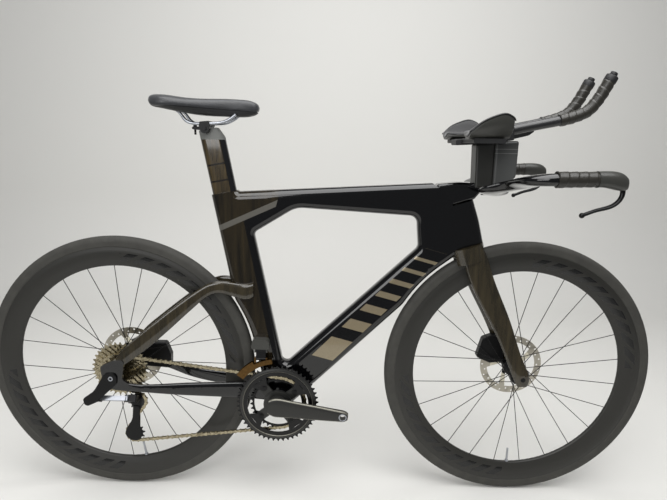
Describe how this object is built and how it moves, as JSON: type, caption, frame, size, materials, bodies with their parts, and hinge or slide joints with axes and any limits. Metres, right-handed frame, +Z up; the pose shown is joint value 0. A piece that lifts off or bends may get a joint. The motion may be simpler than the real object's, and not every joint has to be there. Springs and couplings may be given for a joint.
{
  "type": "time trial bike",
  "caption": "Time trial bicycle with deep rims, disc brakes, a wing base bar with raised arm rests and extensions, and a short chain drive with derailleurs.",
  "frame": {"origin": "on the ground, midway between the two wheels' outer edges, in the bike's middle plane", "axes": "+X forward, +Y to the rider's left, +Z up"},
  "size_m": [1.6849, 0.434, 1.0666],
  "materials": {
    "gloss_black": "gloss lacquer over carbon",
    "smoke_carbon": "gloss smoke-tinted carbon",
    "satin_dark": "satin",
    "rim_black": "matte carbon",
    "tyre_rubber": "matte tread",
    "black_metal": "anodised black",
    "steel": "brushed",
    "alloy": "satin",
    "saddle_black": "satin leathercloth",
    "foam_black": "matte foam cloth",
    "tape_black": "matte ridged tape",
    "plastic_black": "matte"
  },
  "bodies": {
    "frame": {"frame_main": "gloss_black", "chain_stays": "smoke_carbon", "seat_stays": "smoke_carbon", "derailleur_hanger": "black_metal", "rear_axle": "black_metal", "frame_bearings": "black_metal", "rear_caliper": "black_metal", "front_derailleur_bracket": "black_metal", "rear_derailleur_mount": "black_metal", "chain": "steel"},
    "seat": {"seatpost": "smoke_carbon", "saddle_rails": "alloy", "saddle_clamp": "black_metal", "saddle_shell": "plastic_black", "saddle_cover": "saddle_black"},
    "steering": {"fork": "smoke_carbon", "stem": "gloss_black", "base_bar": "gloss_black", "grip_tape": "tape_black", "brake_hoods": "plastic_black", "extensions": "gloss_black", "extension_grips": "tape_black", "riser_column": "satin_dark", "extension_bridge": "satin_dark", "arm_cups": "plastic_black", "arm_pads": "foam_black", "front_axle": "black_metal", "front_caliper": "black_metal"},
    "left_lever": {"brake_lever_left": "satin_dark"},
    "right_lever": {"brake_lever_right": "satin_dark"},
    "left_button": {"shift_button_left": "plastic_black"},
    "right_button": {"shift_button_right": "plastic_black"},
    "front_wheel": {"front_rim": "rim_black", "front_tyre": "tyre_rubber", "front_spokes": "black_metal", "front_hub": "black_metal", "front_rotor": "steel", "front_valve": "alloy"},
    "rear_wheel": {"rear_rim": "rim_black", "rear_tyre": "tyre_rubber", "rear_spokes": "black_metal", "rear_hub": "black_metal", "rear_rotor": "steel", "rear_valve": "alloy"},
    "crankset": {"crank_right": "satin_dark", "crank_left": "satin_dark", "big_chainring": "satin_dark", "small_chainring": "black_metal", "chainring_bolts": "black_metal"},
    "cassette_body": {"cassette": "steel"},
    "outer_link": {"rear_derailleur_outer_link": "alloy"},
    "inner_link": {"rear_derailleur_inner_link": "black_metal"},
    "knuckle": {"rear_derailleur_knuckle": "black_metal"},
    "cage": {"rear_derailleur_cage": "black_metal"},
    "guide_wheel": {"guide_pulley": "plastic_black"},
    "tension_wheel": {"tension_pulley": "plastic_black"},
    "front_changer_link": {"front_derailleur_link": "black_metal"},
    "front_changer_cage": {"front_derailleur_cage": "satin_dark"}
  },
  "joints": [
    {"name": "steer", "type": "hinge", "parent": "frame", "child": "steering", "pos_m": [0.35609, 0, 0.66525], "axis": [-0.2957, 0, 0.9553], "range_deg": [-50, 50]},
    {"name": "seat_height", "type": "slide", "parent": "frame", "child": "seat", "axis": [-0.1857, 0, 0.9826], "range_m": [-0.03, 0.05]},
    {"name": "brake_left", "type": "hinge", "parent": "steering", "child": "left_lever", "pos_m": [0.60375, 0.2, 0.83851], "axis": [0, 1, 0], "range_deg": [0, 22], "stiffness_Nm_per_rad": 0.6, "springref_deg": -14.32},
    {"name": "brake_right", "type": "hinge", "parent": "steering", "child": "right_lever", "pos_m": [0.60375, -0.2, 0.83851], "axis": [0, 1, 0], "range_deg": [0, 22], "stiffness_Nm_per_rad": 0.6, "springref_deg": -14.32},
    {"name": "shift_left", "type": "slide", "parent": "steering", "child": "left_button", "axis": [-0.4472, 0, -0.8944], "range_m": [0, 0.0015], "stiffness_N_per_m": 900, "springref_m": -0.001},
    {"name": "shift_right", "type": "slide", "parent": "steering", "child": "right_button", "axis": [-0.4472, 0, -0.8944], "range_m": [0, 0.0015], "stiffness_N_per_m": 900, "springref_m": -0.001},
    {"name": "front_wheel_spin", "type": "hinge", "parent": "steering", "child": "front_wheel", "pos_m": [0.5045, 0, 0.338], "axis": [0, 1, 0], "continuous": true},
    {"name": "rear_wheel_spin", "type": "hinge", "parent": "frame", "child": "rear_wheel", "pos_m": [-0.5045, 0, 0.338], "axis": [0, 1, 0], "continuous": true},
    {"name": "crank_spin", "type": "hinge", "parent": "frame", "child": "crankset", "pos_m": [-0.1035, 0, 0.258], "axis": [0, 1, 0], "continuous": true, "deforming": ["chain"]},
    {"name": "cassette_spin", "type": "hinge", "parent": "frame", "child": "cassette_body", "pos_m": [-0.5045, 0, 0.338], "axis": [0, 1, 0], "continuous": true, "deforming": ["chain"]},
    {"name": "rear_shift", "type": "hinge", "parent": "frame", "child": "outer_link", "pos_m": [-0.5465, -0.0661, 0.27787], "axis": [0, 0.5736, 0.8192], "range_deg": [-25.7, 14.3], "deforming": ["chain"]},
    {"name": "rear_shift_inner", "type": "hinge", "parent": "frame", "child": "inner_link", "pos_m": [-0.5465, -0.0579, 0.27213], "axis": [0, 0.5736, 0.8192], "range_deg": [-25.7, 14.3], "deforming": ["chain"]},
    {"name": "rear_shift_knuckle", "type": "hinge", "parent": "outer_link", "child": "knuckle", "pos_m": [-0.4755, -0.0661, 0.27787], "axis": [0, 0.5736, 0.8192], "range_deg": [-14.3, 25.7], "deforming": ["chain"]},
    {"name": "cage_swing", "type": "hinge", "parent": "knuckle", "child": "cage", "pos_m": [-0.4585, -0.062, 0.268], "axis": [0, 1, 0], "range_deg": [-25, 20], "stiffness_Nm_per_rad": 1.5, "deforming": ["chain"]},
    {"name": "guide_spin", "type": "hinge", "parent": "cage", "child": "guide_wheel", "pos_m": [-0.46076, -0.0404, 0.25781], "axis": [0, 1, 0], "continuous": true, "deforming": ["chain"]},
    {"name": "tension_spin", "type": "hinge", "parent": "cage", "child": "tension_wheel", "pos_m": [-0.47128, -0.0404, 0.1688], "axis": [0, 1, 0], "continuous": true, "deforming": ["chain"]},
    {"name": "front_shift", "type": "hinge", "parent": "frame", "child": "front_changer_link", "pos_m": [-0.1455, -0.034, 0.396], "axis": [1, 0, 0], "range_deg": [-21.3, 0], "deforming": ["chain"]},
    {"name": "front_shift_cage", "type": "hinge", "parent": "front_changer_link", "child": "front_changer_cage", "pos_m": [-0.1455, -0.038, 0.376], "axis": [1, 0, 0], "range_deg": [0, 21.3], "deforming": ["chain"]}
  ],
  "couplings": [
    {"joint": "cassette_spin", "follows": "crank_spin", "ratio": 1.619},
    {"joint": "guide_spin", "follows": "crank_spin", "ratio": -3.0909},
    {"joint": "tension_spin", "follows": "crank_spin", "ratio": 3.0909},
    {"joint": "rear_shift_inner", "follows": "rear_shift", "ratio": 1},
    {"joint": "rear_shift_knuckle", "follows": "rear_shift", "ratio": -1},
    {"joint": "front_shift_cage", "follows": "front_shift", "ratio": -1}
  ]
}
